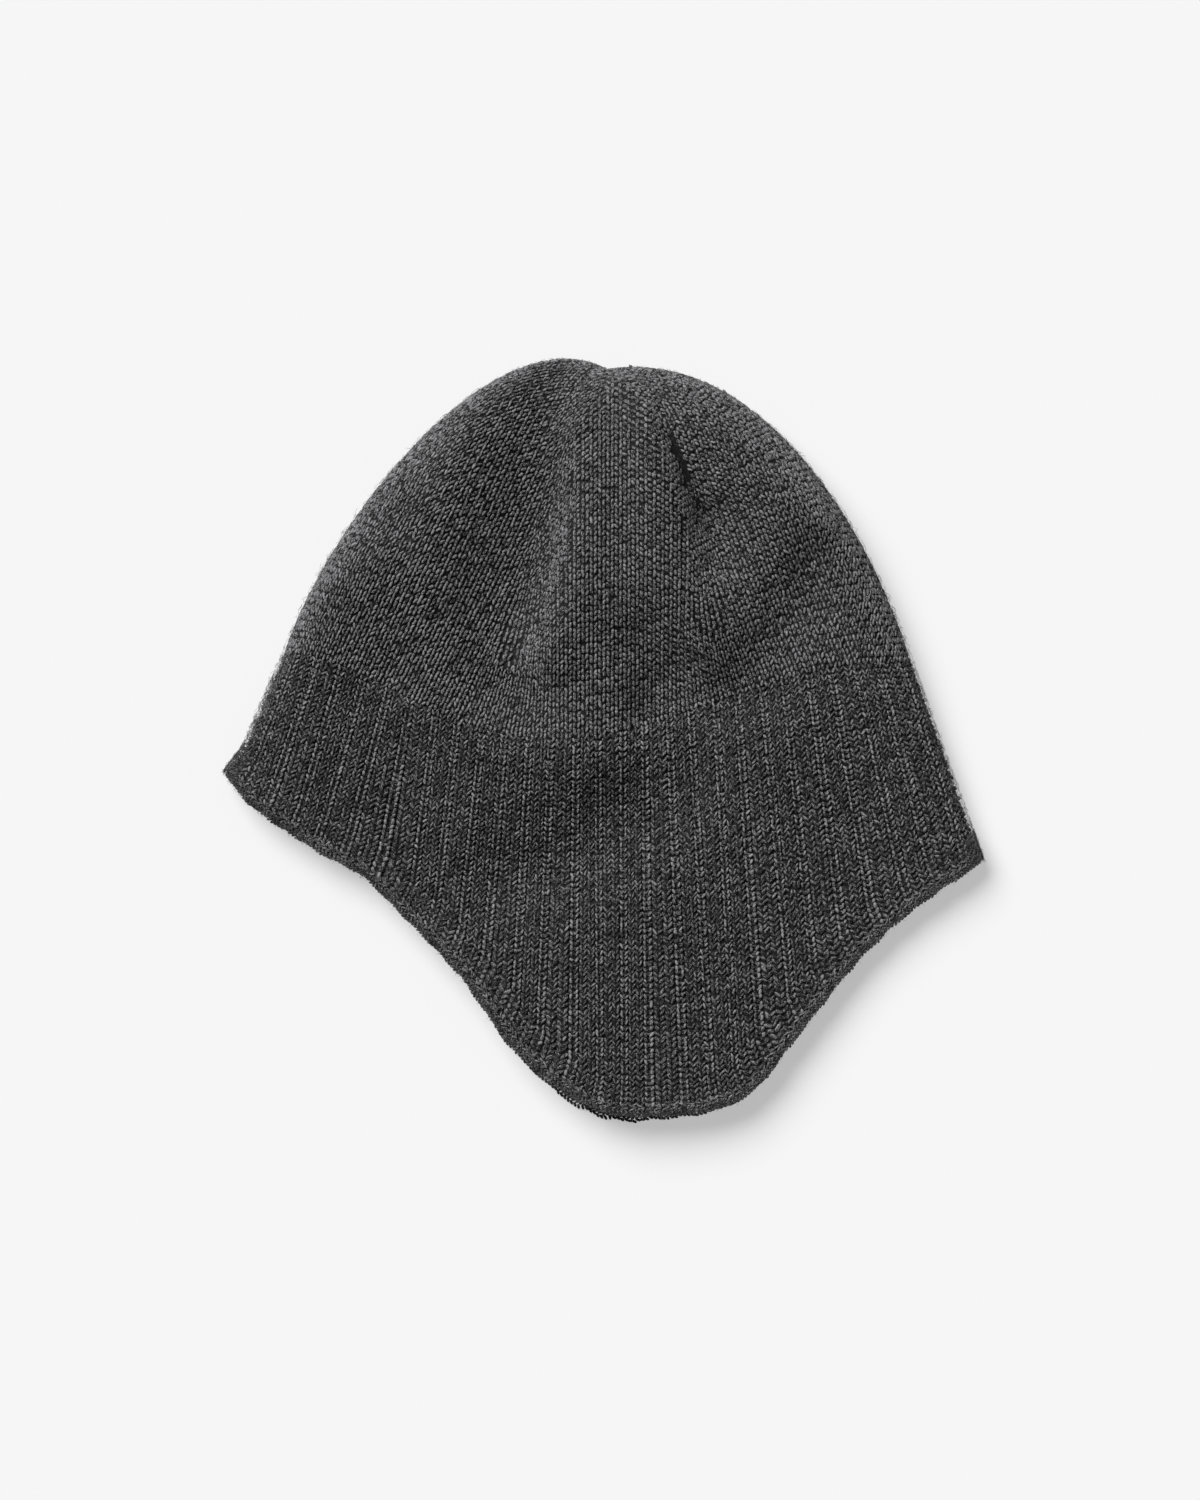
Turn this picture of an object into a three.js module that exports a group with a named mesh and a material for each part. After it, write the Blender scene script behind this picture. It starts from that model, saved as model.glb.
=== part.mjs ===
// Knitted earflap hat, laid flat on its side. Millimetres, +Z up off the surface that it lies on.
// +Y runs from the ear flaps to the top of the crown, and +X from the face to the nape.
import * as THREE from 'three';

// The crown, measured over the flattened hat
const crownWidth = 207;
const crownHeight = 95;
const topShift = 3;
const frontShoulder = 41;
const backShoulder = 48;
const frontLobe = 43;
const backLobe = 50;
const shoulderLean = THREE.MathUtils.degToRad(17);
const frontLobeLift = THREE.MathUtils.degToRad(28);
const backLobeLift = THREE.MathUtils.degToRad(9);

// Where the ribs start: the line sags between the two folds
const ribLineSag = 27;
const ribLineRise = 3;

// The band at its two folds, and the ear flap
const frontDepth = 37.6;
const backDepth = 66.5;
const frontFlare = 20;
const backFlare = 23.6;
const flapDepth = 152;
const farFlapShow = 2.4;
const farShowSpread = 0.3;

// The knit
const wall = 2.8;
const ribCount = 56;
const ribGroove = 0.8;
const hemWidth = 10;
const hemLip = 0.9;
const hemNub = 2.4;
const hemNubSpread = 0.06;
const joinGap = 0.3;
const hemJoinPart = 1.6;
const topInsetShare = 1.25;

// How full the hat lies
const foldRoom = 3.7;
const puff = 14;
const layerRest = 2.6;
const restSoftness = 1.2;
const crownEdgeRound = 26;
const bandEdgeRound = 14;
const underEdgeRound = 9;

// Number of facets
const columnsPerRib = 3;
const crownColumns = 104;
const hemColumns = 168;
const crownRows = 14;
const crownInnerRows = 10;
const bandRows = 8;
const bandInnerRows = 4;

// The edge of the near flap, from the front fold to the back fold. across is a share of half the crown's
// width, and down a share of the flap's depth below the rib line.
const flapEdge = [
  { rib: -0.95, across: -1.149, down: 0.291 },
  { rib: -0.9, across: -1.09, down: 0.33 },
  { rib: -0.85, across: -1.03, down: 0.36 },
  { rib: -0.7, across: -0.875, down: 0.428 },
  { rib: -0.6, across: -0.75, down: 0.474 },
  { rib: -0.5, across: -0.64, down: 0.548 },
  { rib: -0.3, across: -0.435, down: 0.693 },
  { rib: -0.15, across: -0.255, down: 0.856 },
  { rib: 0, across: -0.035, down: 0.972 },
  { rib: 0.15, across: 0.17, down: 0.995 },
  { rib: 0.35, across: 0.465, down: 0.955 },
  { rib: 0.5, across: 0.662, down: 0.8 },
  { rib: 0.63, across: 0.8, down: 0.682 },
  { rib: 0.75, across: 0.94, down: 0.585 },
  { rib: 0.9, across: 1.112, down: 0.495 },
  { rib: 0.96, across: 1.185, down: 0.464 },
];

// How full the near layer lies at each level: 0 is the top, 1 the rib line, 2 the hem, 3 the edge
const fullness = [
  { level: 0, share: 0.85 },
  { level: 0.35, share: 1 },
  { level: 0.75, share: 0.9 },
  { level: 1, share: 0.72 },
  { level: 1.5, share: 0.56 },
  { level: 2, share: 0.22 },
  { level: 3, share: 0.1 },
];

// Folds and hollows of the near layer. Each path holds points of [share of half the width, share of the
// crown's height above the rib line], width is a share of half the crown's width, and depth one of the puff,
// below 0 for a valley and above it for a ridge.
const folds = [
  // Left valley
  { width: 0.17, depth: -0.74, path: [
    [-0.08, 0.95], [-0.13, 0.74], [-0.17, 0.52],
    [-0.22, 0.34], [-0.24, 0.25], [-0.28, -0.08],
  ] },
  // Middle ridge
  { width: 0.099, depth: 0.61, path: [
    [-0.02, 0.93], [-0.04, 0.55], [-0.06, 0.41],
    [-0.1, 0.17], [-0.16, 0.01],
  ] },
  // Right crease
  { width: 0.035, depth: -0.32, path: [
    [0.19, 0.95], [0.22, 0.79], [0.26, 0.69],
    [0.29, 0.61], [0.34, 0.51],
  ] },
  // Beside the crease
  { width: 0.079, depth: -0.28, path: [[0.28, 0.84], [0.34, 0.57], [0.39, 0.34]] },
  // Arc hollow
  { width: 0.12, depth: -0.48, path: [
    [0.69, 0.14], [0.49, -0.03], [0.43, -0.1],
    [0.19, -0.13],
  ] },
  // End of the arc
  { width: 0.092, depth: -0.34, path: [[0.68, 0.34], [0.61, 0.14]] },
  // Deep of the hollow
  { width: 0.1, depth: -0.34, path: [[0.21, -0.02], [0.14, 0.05]] },
  // Band diagonal
  { width: 0.16, depth: -0.59, path: [
    [0.27, -0.41], [0.14, -0.54], [0, -0.62],
    [-0.14, -0.71], [-0.26, -0.75],
  ] },
  // Right shoulder
  { width: 0.16, depth: 0.47, path: [[0.24, 1.02], [0.51, 0.76], [0.72, 0.53]] },
  // Left shoulder
  { width: 0.13, depth: 0.39, path: [[-0.4, 0.92], [-0.56, 0.29], [-0.85, 0.3]] },
  // Left dart
  { width: 0.059, depth: 0.2, path: [[0.05, 0.96], [-0.12, 0.75], [-0.09, 0.65]] },
  // Rib line left
  { width: 0.07, depth: 0.16, path: [[-0.61, -0.16], [-0.27, -0.32], [-0.04, -0.38]] },
  // Rib line right
  { width: 0.096, depth: -0.29, path: [[0.16, -0.21], [0.51, -0.15], [0.8, -0.02]] },
  // Crown middle
  { width: 0.16, depth: 0.43, path: [[0.21, 0.8], [0.16, 0.6], [0.15, 0.29]] },
  // Right middle
  { width: 0.087, depth: -0.4, path: [[0.39, 0.46], [0.54, 0.25]] },
  // Flap
  { width: 0.29, depth: 0.18, path: [[-0.65, -1.08], [0.19, -1.65]] },
  // Back flank
  { width: 0.35, depth: -0.36, path: [[0.77, -0.43], [0.62, -0.62]] },
  // Band left
  { width: 0.16, depth: -0.23, path: [[-0.66, -0.16], [-0.53, -0.77]] },
];

const halfWidth = crownWidth / 2;
const foldHeight = wall + foldRoom;
const plan = (x, y) => new THREE.Vector2(x, y);

// Smooth value of a table's column at a place between its rows
function fromTable(rows, key, column, at) {
  const last = rows.length - 1;
  if (at <= rows[0][key]) return rows[0][column];
  if (at >= rows[last][key]) return rows[last][column];
  const low = rows.findIndex((row, i) => at < rows[i + 1][key]);
  const slope = (i) => {
    const before = rows[Math.max(i - 1, 0)];
    const after = rows[Math.min(i + 1, last)];
    return (after[column] - before[column]) / (after[key] - before[key]);
  };
  const span = rows[low + 1][key] - rows[low][key];
  const t = (at - rows[low][key]) / span;
  const rise = rows[low + 1][column] - rows[low][column];
  const startSlope = slope(low) * span;
  const endSlope = slope(low + 1) * span;
  const ease = t * t * (3 - 2 * t);
  return rows[low][column] + rise * ease
    + startSlope * t * (1 - t) * (1 - t) - endSlope * t * t * (1 - t);
}

// The crown's outline from the rib line to the top, one curve for the front fold and one for the back
const frontStart = plan(-halfWidth, ribLineRise / 2);
const backStart = plan(halfWidth, -ribLineRise / 2);
const crownTop = plan(topShift, crownHeight);

function crownOutline(start, side, shoulder, lobe, lobeLift) {
  const lean = plan(-side * Math.sin(shoulderLean), Math.cos(shoulderLean));
  const reach = plan(side * Math.cos(lobeLift), Math.sin(lobeLift));
  return new THREE.CubicBezierCurve(
    start,
    start.clone().addScaledVector(lean, shoulder),
    crownTop.clone().addScaledVector(reach, lobe),
    crownTop,
  );
}

const frontCurve = crownOutline(frontStart, -1, frontShoulder, frontLobe, frontLobeLift);
const backCurve = crownOutline(backStart, 1, backShoulder, backLobe, backLobeLift);

// How far a knitted row has come from its lowest point up to its ends: 0 there, 1 at both folds
function rowLift(across, level) {
  const lowest = -0.15 * level;
  const skewed = (across - lowest) / (1 - across * lowest);
  return 1 - Math.pow(1 - skewed * skewed, 1 + 1.3 * level);
}

const ribLineMiddle = plan(0, -ribLineSag);

function crownPlan(across, level) {
  const front = frontCurve.getPoint(1 - level);
  const back = backCurve.getPoint(1 - level);
  const middle = crownTop.clone().lerp(ribLineMiddle, level);
  const ends = front.clone().add(back).multiplyScalar(0.5);
  const halfRow = back.clone().sub(front).multiplyScalar(0.5);
  return middle.clone().addScaledVector(halfRow, across)
    .addScaledVector(ends.sub(middle), rowLift(across, level));
}

// The lower edge: the flap's table, closed by the two corners at the folds
const edgeTable = [
  { rib: -1, across: -1 - frontFlare / halfWidth, down: frontDepth / flapDepth },
  ...flapEdge,
  { rib: 1, across: 1 + backFlare / halfWidth, down: backDepth / flapDepth },
];

function edgePlan(across) {
  return plan(
    halfWidth * fromTable(edgeTable, 'rib', 'across', across),
    -flapDepth * fromTable(edgeTable, 'rib', 'down', across),
  );
}

// The line between ribs and hem lies a hem's width inside the edge, and at the folds along them. It draws in
// at the front fold, where the hem stands out as a small nub.
function hemPlan(across) {
  const step = 0.02;
  const edge = edgePlan(across);
  const along = edgePlan(Math.min(across + step, 1)).sub(edgePlan(Math.max(across - step, -1)));
  const inward = plan(-along.y, along.x).normalize();
  const up = crownPlan(across, 1).sub(edge).normalize();
  const nearFold = Math.pow(Math.abs(across), 6);
  const way = inward.multiplyScalar(1 - nearFold).addScaledVector(up, nearFold).normalize();
  const nub = hemNub * Math.exp(-Math.pow((across + 1) / hemNubSpread, 2));
  return edge.addScaledVector(way, hemWidth).add(plan(nub, 0));
}

// A place on the flattened hat: across runs from -1 at the front fold to 1 at the back fold
function hatPlan(across, level) {
  if (level <= 1) return crownPlan(across, level);
  if (level <= 2) return crownPlan(across, 1).lerp(hemPlan(across), level - 1);
  return hemPlan(across).lerp(edgePlan(across), level - 2);
}

// The wall's inner side lies a wall's thickness inside both folds and the top
function innerPlan(across, level) {
  const topInset = wall * topInsetShare / (crownHeight + ribLineSag);
  const innerLevel = level < 1 ? topInset + level * (1 - topInset) : level;
  const halfRow = hatPlan(1, innerLevel).distanceTo(hatPlan(-1, innerLevel)) / 2;
  return hatPlan(across * (1 - wall / Math.max(halfRow, wall * 2)), innerLevel);
}

// Distance from a place to the folds, outside or inside the wall
function foldLine(planOf) {
  const steps = 90;
  return [-1, 1].map((side) => Array.from({ length: steps + 1 }, (_, i) => planOf(side, 3 * i / steps)));
}

const outerFolds = foldLine(hatPlan);
const innerFolds = foldLine(innerPlan);

function distanceToPath(place, path) {
  let nearest = Infinity;
  for (let i = 1; i < path.length; i += 1) {
    const along = path[i].clone().sub(path[i - 1]);
    const share = place.clone().sub(path[i - 1]).dot(along) / Math.max(along.lengthSq(), 1e-9);
    const foot = path[i - 1].clone().addScaledVector(along, THREE.MathUtils.clamp(share, 0, 1));
    nearest = Math.min(nearest, foot.distanceTo(place));
  }
  return nearest;
}

const distanceToFolds = (place, lines) => Math.min(...lines.map((line) => distanceToPath(place, line)));

// Height of a rounded edge: 0 on the fold, 1 once the place is a radius away from it
function roundedEdge(distance, radius) {
  const rest = 1 - Math.min(distance / radius, 1);
  return Math.sqrt(1 - rest * rest);
}

const foldPaths = folds.map((fold) => ({
  width: fold.width * halfWidth,
  depth: fold.depth * puff,
  path: fold.path.map(([x, y]) => plan(x * halfWidth, y * crownHeight)),
}));

function creaseAt(place) {
  return foldPaths.reduce((sum, fold) => {
    const reach = distanceToPath(place, fold.path) / fold.width;
    return sum + fold.depth * Math.exp(-reach * reach);
  }, 0);
}

// The near layer's reach where it comes down on the far one: it comes to rest there
function restedReach(reach) {
  return restSoftness * Math.log(1 + Math.exp((reach + layerRest) / restSoftness)) - layerRest;
}

// How a layer stands at a place: its reach off the fold's height in the open, up for the near layer and
// down for the far one, and its turn, 0 on the fold and 1 clear of it
function layerAt(place, level, near, inside) {
  const thickness = inside ? 0 : wall;
  const distance = distanceToFolds(place, inside ? innerFolds : outerFolds);
  if (!near) {
    return {
      reach: -foldRoom - thickness,
      turn: roundedEdge(distance, underEdgeRound - wall + thickness),
    };
  }
  const radius = THREE.MathUtils.lerp(crownEdgeRound, bandEdgeRound, Math.min(level, 1));
  return {
    reach: restedReach(puff * fromTable(fullness, 'level', 'share', level) + creaseAt(place)) + thickness,
    turn: roundedEdge(distance, radius - wall + thickness),
  };
}

// Share across the hat of an even step along a layer, carried round the quarter turn at each fold
function acrossAt(share) {
  const radius = bandEdgeRound / 2;
  const arc = radius * Math.PI / 2;
  const length = crownWidth - 2 * radius + 2 * arc;
  const run = Math.min(share, 1 - share) * length;
  const inward = run < arc ? radius * (1 - Math.cos(run / radius)) : radius + run - arc;
  return Math.sign(share - 0.5) * (1 - inward / halfWidth);
}

// How far the far flap shows past the near one
function farShow(across, level) {
  const share = Math.max(level - 1, 0) / 2;
  return farFlapShow * share * Math.exp(-Math.pow(across / farShowSpread, 2));
}

// One closed row of points round the hat. cut is how far the surface is sunk at each column.
function rowLoop(columns, level, inside, cut = () => 0) {
  const planOf = inside ? innerPlan : hatPlan;
  return Array.from({ length: columns }, (_, i) => {
    const round = 2 * i / columns;
    const near = round <= 1;
    const across = acrossAt(near ? round : 2 - round);
    const { reach, turn } = layerAt(planOf(across, level), level, near, inside);
    const sideways = cut(i) * Math.sqrt(1 - turn * turn);
    const place = planOf(across * (1 - sideways / halfWidth), level);
    const height = foldHeight + (reach - Math.sign(reach) * cut(i)) * turn;
    return new THREE.Vector3(place.x, place.y - (near ? 0 : farShow(across, level)), height);
  });
}

// A closed skin through rows of points. The rows either close on themselves or end in two tips.
function skin(name, rows, tips, look) {
  const columns = rows[0].length;
  const points = rows.flat();
  const faces = [];
  const links = tips ? rows.length - 1 : rows.length;
  for (let r = 0; r < links; r += 1) {
    const a = r * columns;
    const b = ((r + 1) % rows.length) * columns;
    for (let i = 0; i < columns; i += 1) {
      const next = (i + 1) % columns;
      faces.push(a + i, b + i, b + next, a + i, b + next, a + next);
    }
  }
  if (tips) {
    const first = points.length;
    const lastRow = (rows.length - 1) * columns;
    points.push(...tips);
    for (let i = 0; i < columns; i += 1) {
      const next = (i + 1) % columns;
      faces.push(first, i, next);
      faces.push(first + 1, lastRow + next, lastRow + i);
    }
  }
  const geometry = new THREE.BufferGeometry().setFromPoints(points);
  geometry.setIndex(faces);
  geometry.computeVertexNormals();
  const mesh = new THREE.Mesh(geometry, new THREE.MeshStandardMaterial(look));
  mesh.name = name;
  return mesh;
}

// Levels of the rows from one end to the other, closer together at the start where bend is over 1
const levels = (from, to, count, bend = 1) => (
  Array.from({ length: count }, (_, i) => from + (to - from) * Math.pow(i / (count - 1), bend))
);

// Half of the gap at a join, as a share of the stretch beside it
const joinShare = (length) => joinGap / 2 / length;

// Crown: a closed dome of plain knit, open where the ribs start
function crown() {
  const end = 1 - joinShare(crownHeight);
  const firstRow = 1.5 / crownHeight;
  const outer = levels(firstRow, end, crownRows, 1.5).map((level) => rowLoop(crownColumns, level, false));
  const inner = levels(end, firstRow, crownInnerRows, 0.8).map((level) => rowLoop(crownColumns, level, true));
  const innerTop = innerPlan(0, 0);
  const tips = [
    new THREE.Vector3(crownTop.x, crownTop.y, foldHeight),
    new THREE.Vector3(innerTop.x, innerTop.y, foldHeight),
  ];
  return skin('crown', [...outer, ...inner], tips, { color: 0x4b4b4e, roughness: 0.95, metalness: 0 });
}

// Band and both ear flaps: one ring of ribbed knit, with a groove between the ribs
function bandAndEarFlaps() {
  const columns = ribCount * columnsPerRib;
  const start = 1 + joinShare(flapDepth);
  const end = 2 - joinShare(flapDepth);
  const groove = (i) => (i % columnsPerRib === 0 ? ribGroove : 0);
  const outer = levels(start, end, bandRows + 1).map((level) => rowLoop(columns, level, false, groove));
  const inner = levels(end, start, bandInnerRows + 1).map((level) => rowLoop(columns, level, true));
  return skin('band_and_ear_flaps', [...outer, ...inner], null, {
    color: 0x47474a, roughness: 0.95, metalness: 0,
  });
}

// Hem: the narrow cast-off edge, thinner at its lip. It gives the most of its gap to the band, whose own part
// narrows towards the folds.
function ribHem() {
  const start = 2 + joinShare(hemWidth) * hemJoinPart;
  const shoulder = 3 - hemLip / hemWidth * 3;
  const outer = [
    rowLoop(hemColumns, start, false),
    rowLoop(hemColumns, shoulder, false),
    rowLoop(hemColumns, 3, false, () => hemLip),
  ];
  const inner = [3, 2.5, start].map((level) => rowLoop(hemColumns, level, true));
  return skin('rib_hem', [...outer, ...inner], null, { color: 0x515154, roughness: 0.95, metalness: 0 });
}

const hat = new THREE.Group();
hat.add(crown(), bandAndEarFlaps(), ribHem());

// The origin is under the middle of the lying hat
const middle = new THREE.Box3().setFromObject(hat).getCenter(new THREE.Vector3());
hat.position.set(-middle.x, -middle.y, 0);

export default hat;
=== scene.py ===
# Grey marl earflap hat in fine wool knit, lying on its side, seen from straight above.
# The walls follow the solids, and every stitch, purl bump and cast-off link lies on them as yarn.
import math

import bpy
import numpy as np
from mathutils import Matrix, Vector


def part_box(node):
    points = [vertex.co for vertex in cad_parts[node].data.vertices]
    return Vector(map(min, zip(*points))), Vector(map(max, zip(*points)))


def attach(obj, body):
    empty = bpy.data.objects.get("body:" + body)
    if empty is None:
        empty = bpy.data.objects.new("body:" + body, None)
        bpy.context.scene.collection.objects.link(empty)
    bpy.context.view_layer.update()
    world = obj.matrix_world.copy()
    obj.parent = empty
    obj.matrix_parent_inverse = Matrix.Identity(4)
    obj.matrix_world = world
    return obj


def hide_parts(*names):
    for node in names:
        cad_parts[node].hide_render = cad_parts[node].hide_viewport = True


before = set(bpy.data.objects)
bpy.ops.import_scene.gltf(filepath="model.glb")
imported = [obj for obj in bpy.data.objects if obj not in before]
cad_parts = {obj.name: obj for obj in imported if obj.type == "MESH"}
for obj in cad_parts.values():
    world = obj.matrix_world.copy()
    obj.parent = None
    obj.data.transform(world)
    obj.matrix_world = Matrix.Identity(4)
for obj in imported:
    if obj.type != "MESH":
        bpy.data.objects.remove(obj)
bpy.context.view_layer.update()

MM = 0.001
rng = np.random.default_rng(41)

# Sizes of the flattened hat in millimetres, as in the solids
crown_width = 207.0
crown_height = 95.0
top_shift = 3.0
front_shoulder, back_shoulder = 41.0, 48.0
front_lobe, back_lobe = 43.0, 50.0
shoulder_lean = math.radians(17)
front_lobe_lift, back_lobe_lift = math.radians(28), math.radians(9)
rib_line_sag = 27.0
rib_line_rise = 3.0
front_depth, back_depth = 37.6, 66.5
front_flare, back_flare = 20.0, 23.6
flap_depth = 152.0
far_flap_show, far_show_spread = 2.4, 0.3
wall = 2.8
rib_count = 56
hem_width = 10.0
hem_nub, hem_nub_spread = 2.4, 0.06
fold_room = 3.7
puff = 14.0
layer_rest, rest_softness = 2.6, 1.2
crown_edge_round, band_edge_round, under_edge_round = 26.0, 14.0, 9.0

top_inset_share = 1.25
fold_steps = 120

half_width = crown_width / 2
fold_height = wall + fold_room

# Edge of the near flap. Columns: rib, share across, share down.
flap_edge = np.array([
    (-1.0, -1 - front_flare / half_width, front_depth / flap_depth),
    (-0.95, -1.149, 0.291),
    (-0.9, -1.09, 0.33),
    (-0.85, -1.03, 0.36),
    (-0.7, -0.875, 0.428),
    (-0.6, -0.75, 0.474),
    (-0.5, -0.64, 0.548),
    (-0.3, -0.435, 0.693),
    (-0.15, -0.255, 0.856),
    (0.0, -0.035, 0.972),
    (0.15, 0.17, 0.995),
    (0.35, 0.465, 0.955),
    (0.5, 0.662, 0.8),
    (0.63, 0.8, 0.682),
    (0.75, 0.94, 0.585),
    (0.9, 1.112, 0.495),
    (0.96, 1.185, 0.464),
    (1.0, 1 + back_flare / half_width, back_depth / flap_depth),
])

# Fullness of the near layer. Columns: level, share of the puff.
fullness = np.array([
    (0, 0.85), (0.35, 1), (0.75, 0.9), (1, 0.72), (1.5, 0.56), (2, 0.22), (3, 0.1),
])

# Folds of the near layer: width as a share of half the width, height as one of the puff, and a path
folds = [
    (0.17, -0.74, [(-0.08, 0.95), (-0.13, 0.74), (-0.17, 0.52), (-0.22, 0.34), (-0.24, 0.25), (-0.28, -0.08)]),  # left valley
    (0.099, 0.61, [(-0.02, 0.93), (-0.04, 0.55), (-0.06, 0.41), (-0.1, 0.17), (-0.16, 0.01)]),  # middle ridge
    (0.035, -0.32, [(0.19, 0.95), (0.22, 0.79), (0.26, 0.69), (0.29, 0.61), (0.34, 0.51)]),  # right crease
    (0.079, -0.28, [(0.28, 0.84), (0.34, 0.57), (0.39, 0.34)]),  # beside the crease
    (0.12, -0.48, [(0.69, 0.14), (0.49, -0.03), (0.43, -0.1), (0.19, -0.13)]),  # arc hollow
    (0.092, -0.34, [(0.68, 0.34), (0.61, 0.14)]),  # end of the arc
    (0.1, -0.34, [(0.21, -0.02), (0.14, 0.05)]),  # deep of the hollow
    (0.16, -0.59, [(0.27, -0.41), (0.14, -0.54), (0, -0.62), (-0.14, -0.71), (-0.26, -0.75)]),  # band diagonal
    (0.16, 0.47, [(0.24, 1.02), (0.51, 0.76), (0.72, 0.53)]),  # right shoulder
    (0.13, 0.39, [(-0.4, 0.92), (-0.56, 0.29), (-0.85, 0.3)]),  # left shoulder
    (0.059, 0.2, [(0.05, 0.96), (-0.12, 0.75), (-0.09, 0.65)]),  # left dart
    (0.07, 0.16, [(-0.61, -0.16), (-0.27, -0.32), (-0.04, -0.38)]),  # rib line left
    (0.096, -0.29, [(0.16, -0.21), (0.51, -0.15), (0.8, -0.02)]),  # rib line right
    (0.16, 0.43, [(0.21, 0.8), (0.16, 0.6), (0.15, 0.29)]),  # crown middle
    (0.087, -0.4, [(0.39, 0.46), (0.54, 0.25)]),  # right middle
    (0.29, 0.18, [(-0.65, -1.08), (0.19, -1.65)]),  # flap
    (0.35, -0.36, [(0.77, -0.43), (0.62, -0.62)]),  # back flank
    (0.16, -0.23, [(-0.66, -0.16), (-0.53, -0.77)]),  # band left
]


def from_table(table, column, at):
    """Smooth value of a table's column between its rows."""
    keys, values = table[:, 0], table[:, column]
    slopes = np.empty(len(keys))
    slopes[1:-1] = (values[2:] - values[:-2]) / (keys[2:] - keys[:-2])
    slopes[0] = (values[1] - values[0]) / (keys[1] - keys[0])
    slopes[-1] = (values[-1] - values[-2]) / (keys[-1] - keys[-2])
    at = np.clip(at, keys[0], keys[-1])
    low = np.clip(np.searchsorted(keys, at, side="right") - 1, 0, len(keys) - 2)
    span = keys[low + 1] - keys[low]
    t = (at - keys[low]) / span
    ease = t * t * (3 - 2 * t)
    rise = values[low + 1] - values[low]
    return (values[low] + rise * ease + slopes[low] * span * t * (1 - t) ** 2
            - slopes[low + 1] * span * t * t * (1 - t))


def unit(vectors):
    return vectors / np.maximum(np.linalg.norm(vectors, axis=-1, keepdims=True), 1e-9)


# Plan of the flattened hat

front_start = np.array((-half_width, rib_line_rise / 2))
back_start = np.array((half_width, -rib_line_rise / 2))
crown_top = np.array((top_shift, crown_height))
rib_line_middle = np.array((0.0, -rib_line_sag))


def crown_outline(start, side, shoulder, lobe, lift, share):
    """The crown's fold from the rib line (share 0) to the top (share 1)."""
    lean = np.array((-side * math.sin(shoulder_lean), math.cos(shoulder_lean)))
    reach = np.array((side * math.cos(lift), math.sin(lift)))
    points = (start, start + lean * shoulder, crown_top + reach * lobe, crown_top)
    t = np.asarray(share)[..., None]
    weights = ((1 - t) ** 3, 3 * t * (1 - t) ** 2, 3 * t * t * (1 - t), t ** 3)
    return sum(w * p for w, p in zip(weights, points))


def row_lift(across, level):
    """How far a row has come from its lowest point up to its ends at the folds."""
    lowest = -0.15 * level
    skewed = (across - lowest) / (1 - across * lowest)
    return 1 - np.maximum(1 - skewed * skewed, 0) ** (1 + 1.3 * level)


def crown_plan(across, level):
    front = crown_outline(front_start, -1, front_shoulder, front_lobe, front_lobe_lift, 1 - level)
    back = crown_outline(back_start, 1, back_shoulder, back_lobe, back_lobe_lift, 1 - level)
    middle = crown_top + (rib_line_middle - crown_top) * level[:, None]
    lift = row_lift(across, level)[:, None]
    return middle + (back - front) / 2 * across[:, None] + ((front + back) / 2 - middle) * lift


def edge_plan(across):
    return np.stack((half_width * from_table(flap_edge, 1, across),
                     -flap_depth * from_table(flap_edge, 2, across)), -1)


def hem_plan(across):
    step = 0.02
    edge = edge_plan(across)
    along = edge_plan(np.minimum(across + step, 1)) - edge_plan(np.maximum(across - step, -1))
    inward = unit(np.stack((-along[:, 1], along[:, 0]), -1))
    up = unit(crown_plan(across, np.ones_like(across)) - edge)
    near_fold = (np.abs(across) ** 6)[:, None]
    nub = hem_nub * np.exp(-((across + 1) / hem_nub_spread) ** 2)
    return edge + unit(inward * (1 - near_fold) + up * near_fold) * hem_width + np.stack((nub, 0 * nub), -1)


def hat_plan(across, level):
    """A place on the flattened hat: level 0 is the top, 1 the rib line, 2 the hem and 3 the edge."""
    rib_line = crown_plan(across, np.ones_like(level))
    hem = hem_plan(across)
    band = rib_line + (hem - rib_line) * np.clip(level - 1, 0, 1)[:, None]
    edge = hem + (edge_plan(across) - hem) * np.clip(level - 2, 0, None)[:, None]
    crown = crown_plan(across, np.minimum(level, 1))
    low = level[:, None]
    return np.where(low <= 1, crown, np.where(low <= 2, band, edge))


def inner_plan(across, level):
    """The plan of the wall's inner side, a wall's thickness inside both folds and the top."""
    top_inset = wall * top_inset_share / (crown_height + rib_line_sag)
    level = np.where(level < 1, top_inset + level * (1 - top_inset), level)
    back, front = hat_plan(np.ones_like(level), level), hat_plan(-np.ones_like(level), level)
    half_row = np.linalg.norm(back - front, axis=1) / 2
    return hat_plan(across * (1 - wall / np.maximum(half_row, wall * 2)), level)


def fold_lines(plan_of):
    levels = np.linspace(0, 3, fold_steps + 1)
    return [plan_of(np.full(fold_steps + 1, side), levels) for side in (-1.0, 1.0)]


def distance_to_path(places, path):
    starts, steps = path[:-1], np.diff(path, axis=0)
    lengths = np.maximum((steps ** 2).sum(1), 1e-9)
    nearest = np.empty(len(places))
    batch = 20000
    for low in range(0, len(places), batch):
        part = places[low:low + batch, None]
        share = np.clip(((part - starts) * steps).sum(2) / lengths, 0, 1)
        gap = part - starts - share[..., None] * steps
        nearest[low:low + batch] = np.sqrt((gap ** 2).sum(2).min(1))
    return nearest


def rounded_edge(distance, radius):
    rest = 1 - np.minimum(distance / radius, 1)
    return np.sqrt(np.maximum(1 - rest * rest, 0))


def crease_at(places):
    total = np.zeros(len(places))
    for width, depth, path in folds:
        line = np.array(path) * (half_width, crown_height)
        total += depth * puff * np.exp(-(distance_to_path(places, line) / (width * half_width)) ** 2)
    return total


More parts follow.
